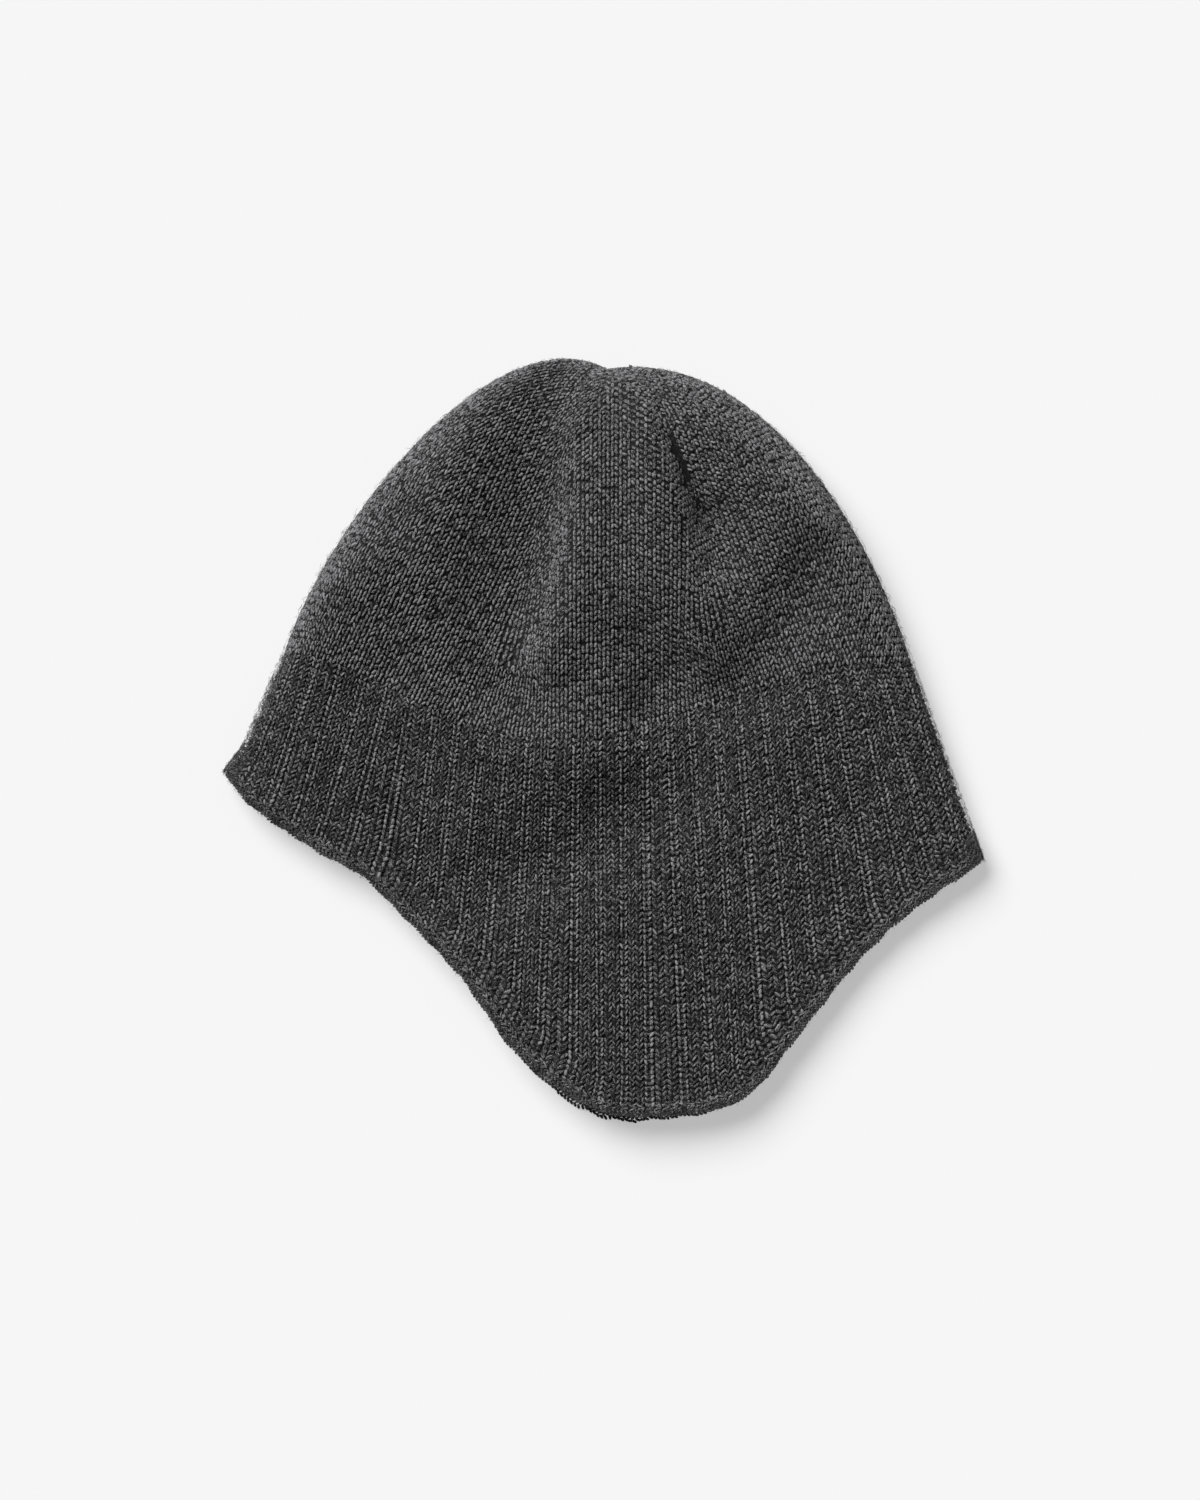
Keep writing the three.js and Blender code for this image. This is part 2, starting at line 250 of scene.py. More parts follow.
def rested_reach(reach):
    """The near layer's reach where it comes down on the far one: it comes to rest there."""
    return rest_softness * np.logaddexp(0, (reach + layer_rest) / rest_softness) - layer_rest


def across_at(share):
    """Share across the hat of an even step along a layer, carried round the quarter turn at each fold."""
    radius = band_edge_round / 2
    arc = radius * math.pi / 2
    run = np.minimum(share, 1 - share) * (crown_width - 2 * radius + 2 * arc)
    inward = np.where(run < arc, radius * (1 - np.cos(np.minimum(run, arc) / radius)), radius + run - arc)
    return np.sign(share - 0.5) * (1 - inward / half_width)


outer_folds = fold_lines(hat_plan)
inner_folds = fold_lines(inner_plan)


def hat_surface(turn, level, cut=0.0, inside=False):
    """Points in millimetres. turn is 0 to 1 over the near layer and 1 to 2 back under the far one, level runs
    from the top to the edge, and cut sinks the outside."""
    turn, level, cut = (np.ravel(a).astype(float) for a in np.broadcast_arrays(turn, level, cut))
    turn = turn % 2
    near = turn <= 1
    across = across_at(np.where(near, turn, 2 - turn))
    plan_of, lines, thickness = (inner_plan, inner_folds, 0) if inside else (hat_plan, outer_folds, wall)
    places = plan_of(across, level)
    distance = np.minimum(*(distance_to_path(places, line) for line in lines))
    near_round = crown_edge_round + (band_edge_round - crown_edge_round) * np.minimum(level, 1)
    radius = np.where(near, near_round, under_edge_round) - wall + thickness
    bend = rounded_edge(distance, radius)
    near_reach = rested_reach(puff * from_table(fullness, 1, level) + crease_at(places)) + thickness
    reach = np.where(near, near_reach, -fold_room - thickness)
    sideways = cut * np.sqrt(1 - bend * bend)
    places = plan_of(across * (1 - sideways / half_width), level)
    height = fold_height + (reach - np.sign(reach) * cut) * bend
    show = np.where(near, 0, far_flap_show * np.clip(level - 1, 0, None) / 2)
    down = show * np.exp(-(across / far_show_spread) ** 2)
    return np.stack((places[:, 0] + shift[0], places[:, 1] - down + shift[1], height), -1)


# Where the plan lies in the frame: under the crown, whose top and middle the solid gives
crown_low, crown_high = (np.array(corner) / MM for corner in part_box("crown"))
plan_top = max(line[:, 1].max() for line in outer_folds)
shift = np.array(((crown_low[0] + crown_high[0]) / 2, crown_high[1] - plan_top))


# Knit gauge in millimetres, and how the yarn lies in a stitch
wale_pitch = 2.75
row_pitch = 1.78
yarn_thickness = 1.25
crown_leg = (0.18, 1.22, 0.4)
rib_leg = (0.4, 1.3, 0.36)
tuck_depth, tuck_width = 1.4, 0.76
tuck_path = np.array([(0.228, 0.77), (0.262, 0.68), (0.284, 0.582), (0.33, 0.515)])
leg_depth = 0.55
wall_cut = 0.85
ribs_near = rib_count // 2
rib_sway = 0.09
groove_depth = 0.8
lip_width = 2.9
plain_share = 0.64
fibre_width = 0.06
fibre_bow, fibre_radius = 0.3, 0.014
shoulder_cut = 0.55
hem_purl_depth = 0.85
hem_bend = 0.8
groove_spread = 0.13
edge_scallop = 0.5


def rib_edge(number):
    """Turn at which a rib starts: wide and narrow ribs take turns."""
    return (number + rib_sway * (np.floor(number) % 2)) / ribs_near


def groove_cut(turn):
    """How far the knit sinks between two ribs."""
    edges = rib_edge(np.arange(0, 2 * ribs_near + 1))
    nearest = np.abs(np.ravel(turn)[:, None] % 2 - edges).min(1) * ribs_near
    return groove_depth * np.exp(-(nearest / groove_spread) ** 2)


def rib_bulge(turn):
    """0 between two ribs and 1 in the middle of one."""
    edges = rib_edge(np.arange(0, 2 * ribs_near + 1))
    nearest = np.abs(np.ravel(turn)[:, None] % 2 - edges).min(1) * ribs_near
    return np.sin(np.pi * np.minimum(nearest, 0.5)) ** 2


def no_cut(turn):
    return np.zeros(np.size(turn))


# Decrease lines of the crown: where wales of the side run into those of the middle, in plan millimetres
front_dart = np.array([(3, 95), (-7, 89), (-14.7, 75), (-16.3, 57), (-22, 20), (-30, -24)])
back_dart = np.array([(3, 95), (13, 88), (20, 80), (27.6, 64), (34.8, 48), (34.2, 30), (38, -12)])
side_lean_front, side_lean_back = math.radians(25), math.radians(22)
dart_sharp, dart_soft = 1.0, 30.0


def wale_at(places, distance, radius, height):
    """Wale count over the crown, 0 in the middle and growing to the back."""
    x, y = places[:, 0], places[:, 1]
    middle = x / wale_pitch
    extra = math.pi / 2 * np.sqrt((radius ** 2 + height ** 2) / 2) - radius
    folded = extra * (1 - rounded_edge(distance, radius))
    soft = np.clip((60 - y) / 80, 0, 1)
    zone = dart_sharp + dart_soft * soft * soft * (3 - 2 * soft)
    wales = middle
    for side, dart, lean in ((-1, front_dart, side_lean_front), (1, back_dart, side_lean_back)):
        base = dart[-1]
        across = (x - base[0]) * math.cos(lean) + side * (y - base[1]) * math.sin(lean) + side * folded
        beside = (across + base[0]) / wale_pitch
        dart_x = np.interp(y, dart[::-1, 1], dart[::-1, 0])
        t = np.clip(side * (x - dart_x) / zone + 0.5, 0, 1)
        wales = wales + (beside - middle) * t * t * (3 - 2 * t)
    return wales


def crown_stitches(near):
    """Turn, level, wale pitch and row pitch of each stitch of the crown."""
    rows = 70
    fine = np.linspace(0, 1, 1601)
    found = []
    for row in range(rows):
        level = np.full(len(fine), (row + 0.55) / rows)
        across = across_at(fine)
        places = hat_plan(across, level)
        distance = np.minimum(*(distance_to_path(places, line) for line in outer_folds))
        radius, height = (crown_edge_round, puff + wall) if near else (under_edge_round, fold_height)
        wales = wale_at(places, distance, radius, height)
        steps = np.linalg.norm(np.diff(hat_surface(fine if near else 2 - fine, level), axis=0), axis=1)
        run = np.concatenate(([0], np.cumsum(steps)))
        wanted = np.arange(math.ceil(wales[0] - 0.5), math.floor(wales[-1] - 0.5) + 1) + 0.5
        turn = np.interp(wanted, wales, fine)
        place = np.interp(turn, fine, run)
        chosen = [run[0] + 0.3 * wale_pitch]
        for spot in list(place) + [run[-1] - 0.3 * wale_pitch]:
            room = spot - chosen[-1]
            if room < 0.72 * wale_pitch:
                continue
            fill = round(room / wale_pitch)
            chosen += [spot - room * (fill - k) / fill for k in range(1, fill)] + [spot]
        chosen = np.array(chosen)
        room = np.clip(np.gradient(chosen), 0.8 * wale_pitch, 1.2 * wale_pitch)
        found.append(np.stack((np.interp(chosen, run, fine), np.full(len(chosen), level[0]), room), 1))
    found = np.concatenate(found)
    turn, level, pitch = found.T
    if not near:
        turn = 2 - turn
    apart = hat_surface(turn, level + 0.5 / rows) - hat_surface(turn, level - 0.5 / rows)
    return turn, level, pitch, np.minimum(np.linalg.norm(apart, axis=1), 1.4 * row_pitch)


def plan_at(turn, level):
    """The plan of a turn, all of it within one layer."""
    shape = np.broadcast(turn, level).shape
    turn, level = (np.ravel(a) for a in np.broadcast_arrays(turn, level))
    return hat_plan(across_at(np.where(turn <= 1, turn, 2 - turn)), level).reshape(*shape, 2)


def rib_paths(near, levels):
    """Turn of each edge between two ribs at every level: steady down the band, and bent in the hem, where
    the ribs lean half way to square with the edge."""
    first = 0 if near else ribs_near
    edges = rib_edge(first + np.arange(ribs_near + 1.0))[:, None]
    paths = np.repeat(edges, len(levels), 1)
    if levels[0] < 2:
        return paths
    inside = (0, 1) if near else (1, 2)
    hem = plan_at(edges, 2.0)
    down = unit(hem - plan_at(edges, 1.9))
    square = unit(plan_at(edges, 3.0) - hem)
    course = unit(down + square * hem_bend)
    for _ in range(6):
        off = [np.cross(course, plan_at(paths + step, levels) - hem) for step in (0.0, 1e-4)]
        slope = (off[1] - off[0]) / 1e-4
        slope = np.where(np.abs(slope) < 1, np.inf, slope)
        paths = np.clip(paths - np.clip(off[0] / slope, -0.02, 0.02), *inside)
    paths[[0, -1]] = edges[[0, -1]]
    return paths


def column_rows(near, share, low, high, pitch):
    """Stitches down each rib at a share of its width, a row pitch apart: turn, its change by level, level, and
    the rib's width there."""
    steps = 48
    levels = np.linspace(low, high, steps + 1)
    paths = rib_paths(near, levels)
    found = []
    for left, right in zip(paths[:-1], paths[1:]):
        turn = left + (right - left) * share
        points = hat_surface(turn, levels)
        run = np.concatenate(([0], np.cumsum(np.linalg.norm(np.diff(points, axis=0), axis=1))))
        over = hat_surface(turn + (right - left) * 0.1, levels) - hat_surface(turn - (right - left) * 0.1, levels)
        width = np.linalg.norm(np.cross(over, unit(np.gradient(points, axis=0))), axis=1) * 5
        count = max(int(run[-1] / pitch), 1)
        wanted = (np.arange(count) + 0.5) * run[-1] / count
        slope = np.gradient(turn, levels)
        found.append([np.interp(wanted, run, values) for values in (turn, slope, levels, width)])
    return [np.concatenate(values) for values in zip(*found)]


class Yarn:
    """Bits of yarn lying on the hat: where each is, which way it points, its size and its tone."""

    def __init__(self):
        self.parts = []

    def lay(self, turn, level, lean, length, width, thickness, cut, aside=0.0, tone=0.0, roll=0.0, slope=None):
        """aside moves a bit along its row in millimetres, and lean turns it from the wale to the back. slope is
        the wale's own change of turn by level, without which the wale is square to the row."""
        square = slope is None
        turn, level, lean, length, width, thickness, cut, aside, tone, roll, slope = (
            np.ravel(a).astype(float) for a in np.broadcast_arrays(
                turn, level, lean, length, width, thickness, cut, aside, tone, roll, 0.0 if square else slope))
        place = hat_surface(turn, level, cut)
        row = unit(hat_surface(turn + turn_step, level, cut) - hat_surface(turn - turn_step, level, cut))
        wale = unit(hat_surface(turn - slope * level_step, level - level_step, cut)
                    - hat_surface(turn + slope * level_step, level + level_step, cut))
        normal = unit(np.cross(row, wale))
        if square:
            wale = np.cross(normal, row)
        else:
            row = np.cross(wale, normal)
        along = unit(wale * np.cos(lean)[:, None] + row * np.sin(lean)[:, None] + normal * np.sin(roll)[:, None])
        side = unit(np.cross(normal, along))
        up = np.cross(along, side)
        self.parts.append((place + row * aside[:, None], side, up, along,
                           np.stack((width, thickness, length), -1), tone))

    def count(self):
        return sum(len(part[0]) for part in self.parts)

    def points(self, name, bow=0.0):
        """A mesh of loose points that holds the place, turn, size and tone of every bit. Bits that touch the
        surface under the hat are lifted onto it, and fibres that would go through it are left out. A bit with a
        bow, as a share of its length, has one size for all its sides."""
        place, side, up, along, size, tone = (np.concatenate(column) for column in zip(*self.parts))
        drop = np.linalg.norm(np.stack((side[:, 2], up[:, 2], along[:, 2]), -1) * size, axis=1) / 2
        drop += bow / 2 * size[:, 2] * np.maximum(-up[:, 2], 0)
        if bow:
            size[:] = size[:, 2:]
        sunk = np.maximum(drop - place[:, 2], 0)
        place[:, 2] += sunk
        kept = sunk < rest_squeeze
        place, side, up, along, size, tone = (column[kept] for column in (place, side, up, along, size, tone))
        turn = np.stack((np.arctan2(up[:, 2], along[:, 2]), np.arcsin(np.clip(-side[:, 2], -1, 1)),
                         np.arctan2(side[:, 1], side[:, 0])), -1)
        mesh = bpy.data.meshes.new(name)
        mesh.vertices.add(len(place))
        mesh.vertices.foreach_set("co", (place * MM).ravel())
        for key, kind, field, values in (("turn", "FLOAT_VECTOR", "vector", turn),
                                         ("size", "FLOAT_VECTOR", "vector", size * MM),
                                         ("tone", "FLOAT", "value", tone)):
            mesh.attributes.new(key, kind, "POINT").data.foreach_set(field, values.ravel())
        mesh.update()
        return mesh


turn_step, level_step = 0.002, 0.004
level_stray = 0.0022
rest_squeeze = 0.6


def stray(size, spread):
    return rng.normal(0, spread, size)


def tuck_cut(turn, level):
    """How far the knit sinks in the sharp part of the right crease."""
    path = tuck_path * (half_width, crown_height)
    return tuck_depth * np.exp(-(distance_to_path(plan_at(turn, level), path) / tuck_width) ** 2)


def lay_stitches(yarn, turn, level, pitch, row, cut, leg, tone=0.0, slope=None):
    """The two legs of each plain stitch, a V whose point is towards the edge. leg holds how far a leg goes
    sideways as a share of the wale, its length in rows and its width as a share of the wale."""
    sideways, reach, fullness_of_leg = leg
    lean = np.arctan2(pitch * sideways, row)
    length = reach * np.hypot(pitch * sideways, row)
    width = pitch * fullness_of_leg
    stitch_tone = stray(len(turn), 0.35) + tone
    for side in (-1, 1):
        count = len(turn)
        yarn.lay(turn, level + stray(count, level_stray), side * lean + stray(count, 0.16),
                 length * (1 + stray(count, 0.08)), width,
                 yarn_thickness, cut + leg_depth + stray(count, 0.07), side * pitch * 0.25 + stray(count, 0.06),
                 stitch_tone + stray(count, 0.6), slope=slope)


def crown_yarn(near):
    yarn = Yarn()
    turn, level, pitch, row = crown_stitches(near)
    lay_stitches(yarn, turn, level, pitch, row, tuck_cut(turn, level) if near else no_cut(turn), crown_leg, 0.6)
    return yarn


def rib_yarn(near, low, high):
    """Ribs of two plain wales and one sunk purl wale, from one level to another."""
    yarn = Yarn()
    sunk, purl_depth = (groove_cut, groove_depth + 0.35) if high <= 2 else (no_cut, hem_purl_depth)
    for share in (0.34, 0.66):
        turn, slope, level, width = column_rows(near, share, low, high, row_pitch)
        lay_stitches(yarn, turn, level, width * plain_share / 2, np.full(len(turn), row_pitch),
                     sunk(turn) + 0.1, rib_leg, -1.0, slope)
    for share, side in ((0.1, 1), (0.9, -1)):
        turn, slope, level, width = column_rows(near, share, low, high, row_pitch)
        count = len(turn)
        yarn.lay(turn, level + stray(count, level_stray), side * 0.42 + stray(count, 0.2),
                 row_pitch * (1.2 + stray(count, 0.12)), width * 0.11, yarn_thickness,
                 shoulder_cut + stray(count, 0.16), tone=stray(count, 1.3) + 1.0, slope=slope)
    # The sunk purl wale is toned darker: painted shade in the groove between two ribs.
    turn, slope, level, width = column_rows(near, 0.0, low, high, row_pitch)
    count = len(turn)
    yarn.lay(turn, level, math.pi / 2 + stray(count, 0.1), width * 0.22, row_pitch * 1.05, 0.9, purl_depth + 0.15,
             tone=stray(count, 0.5) - 1.8, slope=slope)
    return yarn


def edge_run(level):
    """Turns at even steps along the whole edge, a wale pitch apart."""
    fine = np.linspace(0, 2, 4001)
    points = hat_surface(fine, np.full(len(fine), level))
    run = np.concatenate(([0], np.cumsum(np.linalg.norm(np.diff(points, axis=0), axis=1))))
    links = round(run[-1] / wale_pitch)
    return np.interp((np.arange(links) + 0.5) * run[-1] / links, run, fine)


def hem_yarn():
    """The ribs run on into the hem, which ends in a darker lip of loops laid along the edge."""
    yarn = Yarn()
    for near in (True, False):
        yarn.parts += rib_yarn(near, 2.0, 3 - lip_width / hem_width).parts
    for inset, lean, depth in ((2.2, 0.75, 0.45), (1.25, -0.75, 0.5), (0.35, 0.5, 0.7)):
        turn = edge_run(3 - inset / hem_width)
        turn = np.concatenate((turn, turn + 0.5 * np.diff(turn, append=2)))
        count = len(turn)
        out = edge_scallop * (rib_bulge(turn) - 0.4) + stray(count, 0.1)
        yarn.lay(turn, 3 + (out - inset) / hem_width, math.pi / 2 - lean + stray(count, 0.2), wale_pitch * 0.72, 1.15,
                 1.2, depth, tone=stray(count, 0.6) - 1.3)
    return yarn


def chain_yarn():
    """The cast-off chain along the edge: paler linked loops above the lip."""
    yarn = Yarn()
    turn = edge_run(3 - lip_width / hem_width)
    links = len(turn)
    for side in (-1, 1):
        yarn.lay(turn, 3 - (lip_width + side * 0.4) / hem_width, math.pi / 2 + side * 0.4 + stray(links, 0.12),
                 wale_pitch * 1.2, 0.85, 1.2, 0.4, tone=stray(links, 0.5) - 0.2)
    return yarn


def fuzz_yarn(count, low, high):
    """Loose fibres over the knit of the near layer, lying nearly flat. most lie flat, and along the folds and the
    edge some stand off.
    """
    yarn = Yarn()
    turn, level = rng.uniform(0, 1, count), rng.uniform(low, high, count)
    yarn.lay(turn, level, rng.uniform(0, math.tau, count), rng.uniform(1.0, 3.0, count), fibre_width, fibre_width,
             rng.uniform(-0.25, 0.25, count), tone=stray(count, 1.5) + 3.0, roll=stray(count, 0.12))
    return yarn


def halo_yarn(count):
    """Fibres that stand off the folds and the edge."""
    yarn = Yarn()
    third = count // 3
    for turn, level in ((rng.normal(0, 0.02, third), rng.uniform(0.02, 3, third)),
                        (rng.normal(1, 0.02, third), rng.uniform(0.02, 3, third)),
                        (rng.uniform(0, 2, third), rng.uniform(2.85, 3, third))):
        yarn.lay(turn, level, rng.uniform(0, math.tau, third), rng.uniform(1.2, 3.6, third), fibre_width, fibre_width,
                 rng.uniform(-0.9, 0.1, third), tone=stray(third, 1.0) + 0.5, roll=stray(third, 0.45))
    return yarn


# Node trees

def tree_with(name, inputs):
    tree = bpy.data.node_groups.new(name, "GeometryNodeTree")
    tree.interface.new_socket("Geometry", in_out="INPUT", socket_type="NodeSocketGeometry")
    for label, kind in inputs:
        tree.interface.new_socket(label, in_out="INPUT", socket_type=kind)
    tree.interface.new_socket("Geometry", in_out="OUTPUT", socket_type="NodeSocketGeometry")
    return tree, tree.nodes.new("NodeGroupInput"), tree.nodes.new("NodeGroupOutput")


def lay_and_finish(tree, given, shape, out):
    """Instances a shape on the points, turned and sized by their own values, and makes it real."""
    node, link = tree.nodes.new, tree.links.new
    lay = node("GeometryNodeInstanceOnPoints")
    link(given.outputs["Geometry"], lay.inputs["Points"])
    link(shape, lay.inputs["Instance"])
    turn = node("GeometryNodeInputNamedAttribute")
    turn.data_type = "FLOAT_VECTOR"
    turn.inputs["Name"].default_value = "turn"
    euler = node("FunctionNodeEulerToRotation")
    link(turn.outputs["Attribute"], euler.inputs["Euler"])
    link(euler.outputs["Rotation"], lay.inputs["Rotation"])
    size = node("GeometryNodeInputNamedAttribute")
    size.data_type = "FLOAT_VECTOR"
    size.inputs["Name"].default_value = "size"
    link(size.outputs["Attribute"], lay.inputs["Scale"])
    real = node("GeometryNodeRealizeInstances")
    link(lay.outputs["Instances"], real.inputs["Geometry"])
    smooth = node("GeometryNodeSetShadeSmooth")
    link(real.outputs["Geometry"], smooth.inputs["Geometry"])
    cloth = node("GeometryNodeSetMaterial")
    link(smooth.outputs["Geometry"], cloth.inputs["Geometry"])
    link(given.outputs["Material"], cloth.inputs["Material"])
    link(cloth.outputs["Geometry"], out.inputs["Geometry"])


def stitch_tree():
    """Lays a spindle of yarn on every point, turned and sized by the point's own values."""
    tree, given, out = tree_with("bits of yarn", [("Sides", "NodeSocketInt"), ("Rings", "NodeSocketInt"),
                                                  ("Material", "NodeSocketMaterial")])
    node, link = tree.nodes.new, tree.links.new
    spindle = node("GeometryNodeMeshUVSphere")
    spindle.inputs["Radius"].default_value = 0.5
    link(given.outputs["Sides"], spindle.inputs["Segments"])
    link(given.outputs["Rings"], spindle.inputs["Rings"])
    keep = node("GeometryNodeStoreNamedAttribute")
    keep.data_type, keep.domain = "FLOAT2", "CORNER"
    keep.inputs["Name"].default_value = "yarn_uv"
    link(spindle.outputs["Mesh"], keep.inputs["Geometry"])
    link(spindle.outputs["UV Map"], keep.inputs["Value"])
    lay_and_finish(tree, given, keep.outputs["Geometry"], out)
    return tree


def fibre_tree():
    """Lays a thin bowed fibre on every point in the same way."""
    tree, given, out = tree_with("loose fibres", [("Bow", "NodeSocketFloat"), ("Radius", "NodeSocketFloat"),
                                                  ("Steps", "NodeSocketInt"), ("Sides", "NodeSocketInt"),
                                                  ("Material", "NodeSocketMaterial")])
    node, link = tree.nodes.new, tree.links.new
    bowed = node("GeometryNodeCurveQuadraticBezier")
    bowed.inputs["Start"].default_value = (0, 0, -0.5)
    bowed.inputs["End"].default_value = (0, 0, 0.5)
    link(given.outputs["Steps"], bowed.inputs["Resolution"])
    middle = node("ShaderNodeCombineXYZ")
    link(given.outputs["Bow"], middle.inputs["Y"])
    link(middle.outputs["Vector"], bowed.inputs["Middle"])
    round_profile = node("GeometryNodeCurvePrimitiveCircle")
    link(given.outputs["Radius"], round_profile.inputs["Radius"])
    link(given.outputs["Sides"], round_profile.inputs["Resolution"])
    tube = node("GeometryNodeCurveToMesh")
    link(bowed.outputs["Curve"], tube.inputs["Curve"])
    link(round_profile.outputs["Curve"], tube.inputs["Profile Curve"])
    lay_and_finish(tree, given, tube.outputs["Mesh"], out)
    return tree


def through_tree(name, mesh, tree, values):
    """Runs a mesh through a node tree and returns the result as a plain piece."""
    carrier = bpy.data.objects.new(name + "_points", mesh)
    bpy.context.scene.collection.objects.link(carrier)
    modifier = carrier.modifiers.new("lay", "NODES")
    modifier.node_group = tree
    for item in tree.interface.items_tree:
        if item.in_out == "INPUT" and item.name in values:
            modifier[item.identifier] = values[item.name]
    ready = carrier.evaluated_get(bpy.context.evaluated_depsgraph_get())
    result = bpy.data.meshes.new_from_object(ready)
    bpy.data.objects.remove(carrier)
    for key in ("turn", "size"):
        if key in result.attributes:
            result.attributes.remove(result.attributes[key])
    result.name = name
    piece = bpy.data.objects.new(name, result)
    bpy.context.scene.collection.objects.link(piece)
    return piece


# Materials

def shader_group(name, inputs, outputs):
    tree = bpy.data.node_groups.new(name, "ShaderNodeTree")
    for label, kind, value in inputs:
        tree.interface.new_socket(label, in_out="INPUT", socket_type=kind).default_value = value
    for label, kind in outputs:
        tree.interface.new_socket(label, in_out="OUTPUT", socket_type=kind)
    return tree, tree.nodes.new("NodeGroupInput"), tree.nodes.new("NodeGroupOutput")


def marl_group():
    """Grey marl: dark wool with paler fibres that run along the yarn, and flecks of both between them."""
    tree, given, out = shader_group(
        "grey marl", [("Place", "NodeSocketVector", (0, 0, 0)), ("Strand", "NodeSocketVector", (0, 0, 0)),
                      ("Tone", "NodeSocketFloat", 0),
                      ("Dark", "NodeSocketColor", (0.02, 0.02, 0.022, 1)),
                      ("Pale", "NodeSocketColor", (0.2, 0.2, 0.21, 1))],
        [("Color", "NodeSocketColor"), ("Height", "NodeSocketFloat")])
    node, link = tree.nodes.new, tree.links.new
    fleck = node("ShaderNodeTexNoise")
    fleck.inputs["Scale"].default_value = 2500
    fleck.inputs["Detail"].default_value = 2
    fleck.inputs["Roughness"].default_value = 0.7
    link(given.outputs["Place"], fleck.inputs["Vector"])
    drawn = node("ShaderNodeVectorMath")
    drawn.operation = "MULTIPLY"
    drawn.inputs[1].default_value = (9, 3, 41)
    link(given.outputs["Strand"], drawn.inputs[0])
    fibre = node("ShaderNodeTexNoise")
    fibre.inputs["Scale"].default_value = 1
    fibre.inputs["Detail"].default_value = 1.5
    fibre.inputs["Roughness"].default_value = 0.7
    link(drawn.outputs["Vector"], fibre.inputs["Vector"])
    mixed = node("ShaderNodeMath")
    mixed.operation = "MULTIPLY_ADD"
    link(fleck.outputs["Fac"], mixed.inputs[0])
    mixed.inputs[1].default_value = 1.0
    link(fibre.outputs["Fac"], mixed.inputs[2])
    drift = node("ShaderNodeTexNoise")
    drift.inputs["Scale"].default_value = 420
    drift.inputs["Detail"].default_value = 2
    link(given.outputs["Place"], drift.inputs["Vector"])
    both = node("ShaderNodeMath")
    both.operation = "MULTIPLY_ADD"
    link(drift.outputs["Fac"], both.inputs[0])
    both.inputs[1].default_value = 0.3
    link(mixed.outputs["Value"], both.inputs[2])
    toned = node("ShaderNodeMath")
    toned.operation = "MULTIPLY_ADD"
    link(given.outputs["Tone"], toned.inputs[0])
    toned.inputs[1].default_value = 0.05
    link(both.outputs["Value"], toned.inputs[2])
    share = node("ShaderNodeMapRange")
    share.inputs["From Min"].default_value = 1.06
    share.inputs["From Max"].default_value = 1.33
    link(toned.outputs["Value"], share.inputs["Value"])
    blend = node("ShaderNodeMix")
    blend.data_type = "RGBA"
    link(share.outputs["Result"], blend.inputs["Factor"])
    link(given.outputs["Dark"], blend.inputs["A"])
    link(given.outputs["Pale"], blend.inputs["B"])
    link(blend.outputs["Result"], out.inputs["Color"])
    link(mixed.outputs["Value"], out.inputs["Height"])
    return tree


marl = marl_group()


def wool(name, dark, pale, bump):
    """Matte wool: the marl, a soft nap from its sheen, and the relief of its fibres."""
    material = bpy.data.materials.new(name)
    material.use_nodes = True
    tree = material.node_tree
    node, link = tree.nodes.new, tree.links.new
    skin = tree.nodes["Principled BSDF"]
    skin.inputs["Roughness"].default_value = 0.92
    skin.inputs["Specular IOR Level"].default_value = 0.2
    skin.inputs["Sheen Weight"].default_value = 0.12
    skin.inputs["Sheen Roughness"].default_value = 0.45
    place = node("ShaderNodeTexCoord")
    mix = node("ShaderNodeGroup")
    mix.node_tree = marl
    mix.inputs["Dark"].default_value = (*dark, 1)
    mix.inputs["Pale"].default_value = (*pale, 1)
    link(place.outputs["Object"], mix.inputs["Place"])
    tone = node("ShaderNodeAttribute")
    tone.attribute_name = "tone"
    link(tone.outputs["Fac"], mix.inputs["Tone"])
    winding = node("ShaderNodeAttribute")
    winding.attribute_name = "yarn_uv"
    own = node("ShaderNodeCombineXYZ")
    link(tone.outputs["Fac"], own.inputs["Z"])
    strand = node("ShaderNodeVectorMath")
    link(winding.outputs["Vector"], strand.inputs[0])
    link(own.outputs["Vector"], strand.inputs[1])
    link(strand.outputs["Vector"], mix.inputs["Strand"])
    link(mix.outputs["Color"], skin.inputs["Base Color"])
    relief = node("ShaderNodeBump")
    relief.inputs["Strength"].default_value = bump
    relief.inputs["Distance"].default_value = 0.0002
    link(mix.outputs["Height"], relief.inputs["Height"])
    link(relief.outputs["Normal"], skin.inputs["Normal"])
    return material


yarn_wool = wool("grey marl yarn", (0.009, 0.009, 0.0093), (0.28, 0.28, 0.288), 0.6)
fibre_wool = wool("loose wool fibres", (0.012, 0.012, 0.0125), (0.17, 0.17, 0.175), 0.0)
# A darker copy of the marl for the walls: painted shade under and between the stitches, and the inside of the knit.
wall_wool_and_painted_shade = wool("inside of the knit and painted shade", (0.012, 0.012, 0.013), (0.09, 0.09, 0.094), 0.6)


